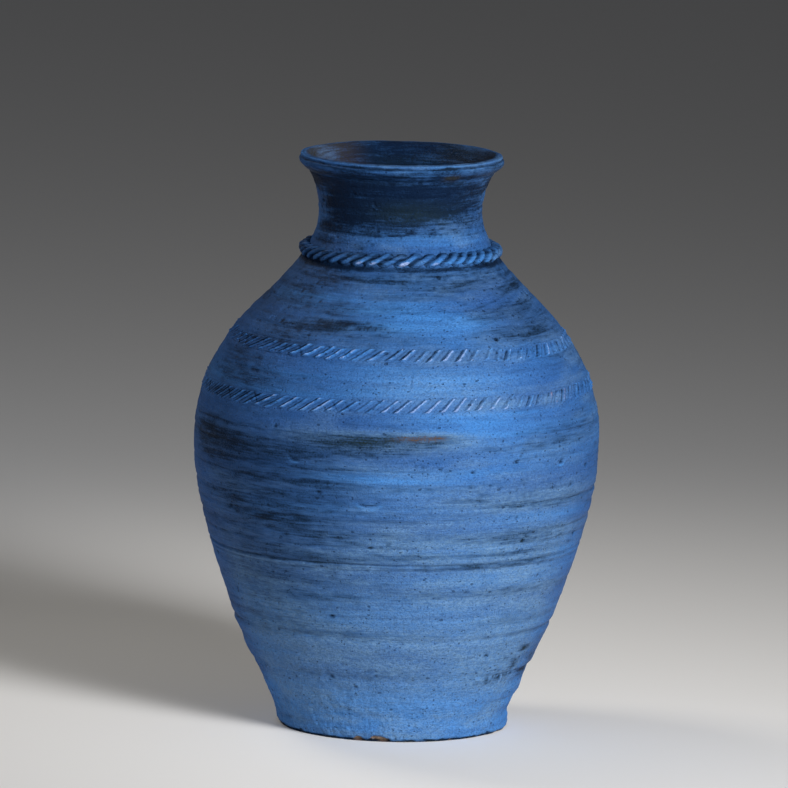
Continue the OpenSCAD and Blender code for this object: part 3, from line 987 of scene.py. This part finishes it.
# %% Lip
def lip():
    """The bead and its inner slope."""
    turn = turns(WALL_TURNS)
    t = turn[None, :]
    slope = np.stack([np.gradient(lip_z), -np.gradient(lip_r)], -1)
    slope = slope / np.linalg.norm(slope, axis=1)[:, None]
    angle = np.degrees(np.arctan2(slope[:, 1], slope[:, 0]))[:, None]
    outer = (even < along[len(lip_h)])[:, None]
    lumps = 0.14 * mottle(t, even[:, None], 60, 4 * MM, 81) + 0.22 * mottle(t, even[:, None], 14, 9 * MM, 82)
    lines = 0.10 * mottle(t, even[:, None], 5, 1.2 * MM, 83)
    finger = -0.8 * np.exp(-((angle - 26) / 11) ** 2) * clamp(0.6 + 0.6 * mottle(t, even[:, None], 5, 0.2, 84))
    ridge = 0.45 * np.exp(-((angle - 50) / 10) ** 2)
    proud = lumps + lines - 0.35 + outer * (finger + ridge)
    wobble = 0.5 * np.sin(t + 2.1) * MM * step_up(0, 8 * MM, lip_z[:, None] - lip_seam)
    r = lip_r[:, None] + (proud * slope[:, :1]) * MM
    h = lip_z[:, None] + (proud * slope[:, 1:]) * MM
    h = np.minimum(h + np.minimum(wobble, 0), jar_top)
    join = step_up(0, 2.5 * MM, lip_z[:, None] - lip_seam) * outer + (1 - outer)
    neck_edge = outside_at(lip_seam) + turned(t, np.full((1, 1), lip_seam)) * MM
    r = np.where(outer, neck_edge + (r - neck_edge) * join, r)
    h = np.where(outer, lip_z[:, None] + (h - lip_z[:, None]) * join, h)
    paint = finish_of(t, lip_z[:, None] + 0 * t, -0.7 * proud)
    # Painted highlight: the ridge and the top of the bead turn pale blue, most right of the front where the light
    # falls, and the wash is lifted off the ridge.
    lit = (0.5 + 0.4 * np.cos(t - 0.35)) * outer
    furrow = outer * np.exp(-((angle - 26) / 9) ** 2)
    paint[..., 0] = clamp(paint[..., 0] + 0.2 * furrow - 0.3 * outer * np.exp(-((angle - 52) / 9) ** 2))
    shine = 0.7 * np.exp(-((angle - 52) / 9) ** 2) + 0.45 * np.exp(-((angle - 2) / 13) ** 2)
    paint[..., 3] = clamp(paint[..., 3] + lit * shine, 0, 1.3)
    rubbed = outer * np.exp(-((np.degrees(t) - 27) / 11) ** 4 - ((angle - 40) / 14) ** 2)
    paint[..., 3] = clamp(paint[..., 3] + 0.35 * rubbed, 0, 1.3)
    chip = np.exp(-((np.degrees(t) - 31) / 6) ** 4 - ((lip_z[:, None] / MM - 410.3) / 2.2) ** 2) * outer
    chip = clamp(1.2 * chip)
    paint[..., 0] = np.maximum(paint[..., 0], 1.1 * chip)
    paint[..., 1] = np.maximum(paint[..., 1], 0.8 * chip)
    paint[..., 2] = 0.03 * chip
    inside = inside_paint(t, lip_z[:, None] + 0 * t)
    share = (step_up(along[len(lip_h)] - 3 * MM, along[len(lip_h)] + 2 * MM, even))[:, None, None]
    colours = paint * (1 - share) + inside * share
    add_piece("rolled_lip", place(t, r, h), colours, "rim_roll", blue_paint)


lip()

# %% [markdown]
# ## The rope collar
#
# The rope is a coil of clay that was pressed round the foot of the neck and
# notched with a slanting stick, so it looks twisted. Each lump is thickest at
# its lower left end and runs out thin at its upper right end, and no two are
# alike. The back of the coil lies on the wall and never goes into it.

# %% Rope collar
def strand(turn, up, radius, around, lean, seed, loose):
    """Numbers and places of slanting marks: which mark a point belongs to and
    how far across it the point lies, from 0 to 1. `up` is in millimetres."""
    pitch = TURN * radius / MM / around
    drift = loose * mottle(turn, 0 * up, around // 3, 1.0, seed)
    phase = around * turn / TURN + drift - up * lean / pitch
    which = np.floor(phase)
    return which.astype(int) % around, phase - which


def rope():
    """The notched coil."""
    low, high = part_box("rope_collar")
    middle, half = (low.z + high.z) / 2, (high.z - low.z) / 2
    coil = half * 1.04
    heart = high.x - 0.0056
    around = int(round(TURN * heart / (10.0 * MM)))
    turn = turns(1640)
    t = turn[None, :]
    front = np.radians(np.linspace(-128, 118, 40))[:, None]
    up = np.sin(front) * half / MM
    rng = np.random.default_rng(17)
    fat, deep, tip, twist = rng.uniform(-1, 1, (4, around))
    lean = 1.2 - 0.5 * np.sin(t)
    which, across = strand(t, up, heart, around, lean, 18, 0.16)
    body = 1 - np.abs(2 * across - 1 + 0.12 * twist[which]) ** 2.6
    lump = clamp(body, 0, 1) ** 1.1
    level = up / (half / MM)
    taper = 1 + 0.07 * fat[which] - 0.10 * level * (1 + 0.5 * tip[which])
    thick = 5.6 * taper
    notch = 3.3 + 0.6 * deep[which]
    reach = thick - notch * (1 - lump) + 0.16 * mottle(t, up * MM, 240, 2.4 * MM, 19)
    reach = reach - 0.12 * np.abs(mottle(t, up * MM, 420, 1.2 * MM, 20))
    h = middle + 0.6 * MM * np.sin(2 * t + 1) + reach * MM * np.sin(front) * coil / half * 0.9
    r = heart + reach * MM * np.cos(front)
    back_h = h[[-1, 0]]
    backs = np.linspace(0, 1, 8)[1:-1, None]
    back_h = back_h[0] * (1 - backs) + back_h[1] * backs
    everywhere = np.vstack([h, back_h])
    on_wall = outside_at(everywhere) + turned(t, everywhere) * MM + 0.06 * MM
    r = np.vstack([np.maximum(r, on_wall[:40]), on_wall[40:]])
    # Painted shade: over the left half of the jar, away from the light, the coil is darker; it is also darker towards
    # its top, where it meets the dark neck. This is added to the dark that lies between the lumps.
    shaded = 0.6 + 0.4 * clamp(0.25 - np.sin(t)) + 0.25 * step_up(0.1, 1.0, level)
    hollow_and_shade = np.vstack([2.4 * (1 - lump) + shaded, 1.5 + np.zeros_like(back_h)])
    paint = finish_of(t, everywhere, hollow_and_shade)
    # The crests of the lumps, most at their lower left ends and on the front, turn chalky pale: partly worn paint and
    # partly painted highlight.
    crest = lump ** 2 * (0.3 + 0.7 * np.exp(-((level + 0.45) / 0.4) ** 2))
    crest = np.vstack([crest, np.zeros_like(back_h)])
    which_all = np.vstack([which, np.repeat(which[:1], len(back_h), 0)])
    crest = crest * clamp(0.75 + 0.5 * fat[which_all]) * (0.5 + 0.7 * np.exp(-((t + 0.12) / 0.6) ** 2))
    paint[..., 0] = clamp(paint[..., 0] - 0.8 * crest)
    paint[..., 3] = clamp(paint[..., 3] + 1.4 * crest, 0, 1.5)
    print(f"rope: {around} lumps")
    add_piece("notched_rope_collar", place(t, r, everywhere), paint, "rope_collar",
              blue_paint)


rope()

# %% [markdown]
# ## The two stroke bands
#
# The bands are thin strips of clay, smoothed into the wall and cut with the
# edge of a stick. Each cut pushes the clay aside: there is a groove, a sharp
# ridge on its lower right side, and a burr where the stick was lifted at the
# lower end. The marks lie flatter on the left of the jar and steeper on the
# right, and now and then two of them cross.

# %% Stroke bands
def cuts(turn, up, half, radius, around, seed):
    """Height of the cut clay above the strip's own face, in millimetres."""
    rng = np.random.default_rng(seed)
    deep, tall, start, stop, shift = rng.uniform(-1, 1, (5, around))
    lean = 1.3 - 0.6 * np.sin(turn)
    which, across = strand(turn, up, radius, around, lean, seed + 1, 0.22)
    x = (across - 0.5 + 0.10 * shift[which]) * 10
    low, high = -half + 1.7 + 0.9 * start[which], half - 1.8 + 0.9 * stop[which]
    held = step_up(-0.8, 0.8, up - low) * step_up(-0.8, 0.9, high - up)
    groove = -(0.8 + 0.3 * deep[which]) * np.exp(-((x + 2.4) / 1.1) ** 2)
    left = step_up(-0.5, -1.1, turn)
    right = step_up(0.4, 1.0, turn) * (1 - step_up(1.6, 2.4, turn))
    ridge = (0.95 + 0.3 * tall[which]) * (1 - 0.5 * left - 0.35 * right) * np.exp(-((x - 0.2) / 1.8) ** 2)
    ridge = ridge * (1 + 0.4 * mottle(turn, up * MM, 420, 2.4 * MM, seed + 4))
    beside = -0.35 * np.exp(-((x - 2.9) / 1.0) ** 2)
    burr = (0.6 + 0.35 * tall[which]) * (1 - 0.6 * left - 0.4 * right) * np.exp(-(x / 2.0) ** 2 - ((up - low - 0.2) / 1.0) ** 2)
    lifted = (0.3 + 0.3 * start[which]) * np.exp(-(x / 1.6) ** 2 - ((up - high + 0.3) / 0.9) ** 2)
    crescent = -0.8 * np.exp(-(x / 2.4) ** 2 - ((up - low + 1.4) / 0.6) ** 2)
    dash = -0.7 * clamp(0.5 + stop[which]) * np.exp(-((x - 0.8) / 2.0) ** 2 - ((up - high - 1.2) / 0.6) ** 2)
    total = held * (groove + ridge + beside) + burr + lifted + crescent + dash
    crossed = rng.random(around) < 0.09
    other, astride = strand(turn, up, radius, around, -0.5 * lean, seed + 2, 0.3)
    y = (astride - 0.5) * 8
    total = total - 0.4 * crossed[other] * held * np.exp(-(y / 0.7) ** 2)
    return total


def stroke_band(name, band, columns, pitch, seed):
    """A strip of clay with its cuts, seated in the wall."""
    middle, half, _ = BANDS[band]
    turn = turns(columns)
    t = turn[None, :]
    up = np.linspace(-half, half, 34)[:, None]
    h = band_middle(band, t) + up
    radius = outside_at(middle)
    around = int(round(TURN * radius / pitch))
    base = turned(t, h)
    edge = step_up(0.2 * MM, 1.2 * MM, half - np.abs(up))
    marks = cuts(t, up / MM, half / MM, radius, around, seed) * edge
    front = skin(t, h, base + marks - 0.08 + 0.13 * edge)
    back_up = np.linspace(half - 0.12 * MM, -half + 0.12 * MM, 14)[:, None]
    back_h = band_middle(band, t) + back_up
    depth = SUNK * step_up(1.0 * MM, 2.2 * MM, half - np.abs(back_up))
    behind = skin(t, back_h, turned(t, back_h) - 0.96 * depth - 0.12)
    paint = finish_of(t, h, -base - marks * 1.1)
    # The ridges of the cuts turn chalky pale, less on the right: partly worn paint and partly painted highlight.
    crest = clamp(1.4 * (marks - 0.35))
    dark_cut = clamp(-1.2 * marks) * (0.3 + 0.25 * step_up(-0.5, -1.1, t) + 0.35 * step_up(-0.95, -1.2, t))
    paint[..., 0] = clamp(paint[..., 0] + dark_cut - 0.6 * crest)
    shy = step_up(0.3, 0.8, t) * step_up(0.6, 0.0, mottle(t, 0 * h, 90, 1.0, seed + 3))
    paint[..., 3] = clamp(paint[..., 3] + (1.0 - 0.75 * shy) * crest, 0, 1.25)
    for rubbed in (53.5, 59.8) if band == "lower_stroke_band" else ():
        near = np.exp(-((t - np.radians(rubbed)) / 0.022) ** 2)
        paint[..., 2] = np.maximum(paint[..., 2], 0.8 * near * crest)
    plain = finish_of(t, back_h, 0)
    print(f"{band}: {around} cuts, {1000 * marks.min():.0f} to {1000 * marks.max():.0f} micrometres")
    add_piece(name, np.vstack([front, behind]), np.vstack([paint, plain]), band,
              blue_paint)


stroke_band("upper_strip_with_cuts", "upper_stroke_band", 1360, 10.4 * MM, 31)
stroke_band("lower_strip_with_cuts", "lower_stroke_band", 1600, 10.1 * MM, 37)

# %% [markdown]
# ## Floor, light and camera
#
# The jar stands on a plain pale floor. One soft light stands to the right of
# the camera and above it, as the bright stripe on the jar's right half shows,
# and little light comes from the left. The camera is far away with a long lens:
# the lip's ellipse gives its height, and the jar's lean gives the small roll.

# %% Floor
def plain_floor():
    """A square pale floor."""
    material, tree, shader = new_material("pale_floor")
    shader.inputs["Base Color"].default_value = (0.80, 0.79, 0.78, 1)
    shader.inputs["Roughness"].default_value = 0.9
    mesh = bpy.data.meshes.new("floor")
    far = 30.0
    mesh.from_pydata([(-far, -far, 0), (far, -far, 0), (far, far, 0), (-far, far, 0)], [], [(0, 1, 2, 3)])
    mesh.materials.append(material)
    floor = bpy.data.objects.new("floor", mesh)
    bpy.context.scene.collection.objects.link(floor)


plain_floor()


# %% Light
def towards(azimuth, elevation, distance, height):
    """A place seen from a point on the jar's axis."""
    a, e = np.radians(azimuth), np.radians(elevation)
    flat = distance * np.cos(e)
    return (flat * np.sin(a), -flat * np.cos(a), height + distance * np.sin(e))


def soft_light(name, azimuth, elevation, distance, wide, tall, power, tint=(1, 1, 1)):
    """A soft box that looks at the jar's axis."""
    lamp = bpy.data.lights.new(name, "AREA")
    lamp.shape = "RECTANGLE"
    lamp.size = wide
    lamp.size_y = tall
    lamp.energy = power
    lamp.color = tint
    lamp.spread = np.radians(80)
    box = bpy.data.objects.new(name, lamp)
    box.location = towards(azimuth, elevation, distance, 0.2)
    back = box.location - type(box.location)((0, 0, 0.2))
    box.rotation_euler = back.to_track_quat("Z", "Y").to_euler()
    bpy.context.scene.collection.objects.link(box)
    return box


soft_light("key", 34, 20, 2.2, 0.60, 1.4, 17.8)
soft_light("fill", -72, -1, 2.5, 1.0, 0.3, 1.25, (0.62, 0.78, 1))
soft_light("rim", -128, 48, 1.6, 0.5, 0.6, 1.6, (1, 0.95, 0.86))
soft_light("low", -16, 2.4, 6.0, 4.2, 0.28, 10.5)
world = bpy.data.worlds.new("studio")
world.use_nodes = True
world.node_tree.nodes["Background"].inputs[0].default_value = (0.80, 0.82, 0.86, 1)
world.node_tree.nodes["Background"].inputs[1].default_value = 0.07
bpy.context.scene.world = world
bpy.context.scene.view_settings.view_transform = "Standard"


# %% Camera
def photo_camera():
    """The camera that fits the photo: 8 m away, 8.8 degrees above the floor."""
    from mathutils import Matrix, Vector
    lift = np.radians(8.8)
    roll = np.radians(1.173)
    c, s = float(np.cos(roll)), float(np.sin(roll))
    back = Vector((0, -np.cos(lift), np.sin(lift)))
    level = Vector((1, 0, 0))
    up = back.cross(level)
    right, up = level * c + up * s, up * c - level * s
    spot = Vector((0, 0, 0.2)) + back * 8.0 - right * 0.00161 + up * 0.0424
    data = bpy.data.cameras.new("camera")
    data.lens = 500.4
    data.sensor_width = 36
    data.clip_end = 100
    camera = bpy.data.objects.new("camera", data)
    frame_of = Matrix((right, up, back)).transposed().to_4x4()
    camera.matrix_world = Matrix.Translation(spot) @ frame_of
    bpy.context.scene.collection.objects.link(camera)
    bpy.context.scene.camera = camera


photo_camera()

# %% Size
print("solids", [[round(1000 * v, 1) for v in c] for c in cad_box])
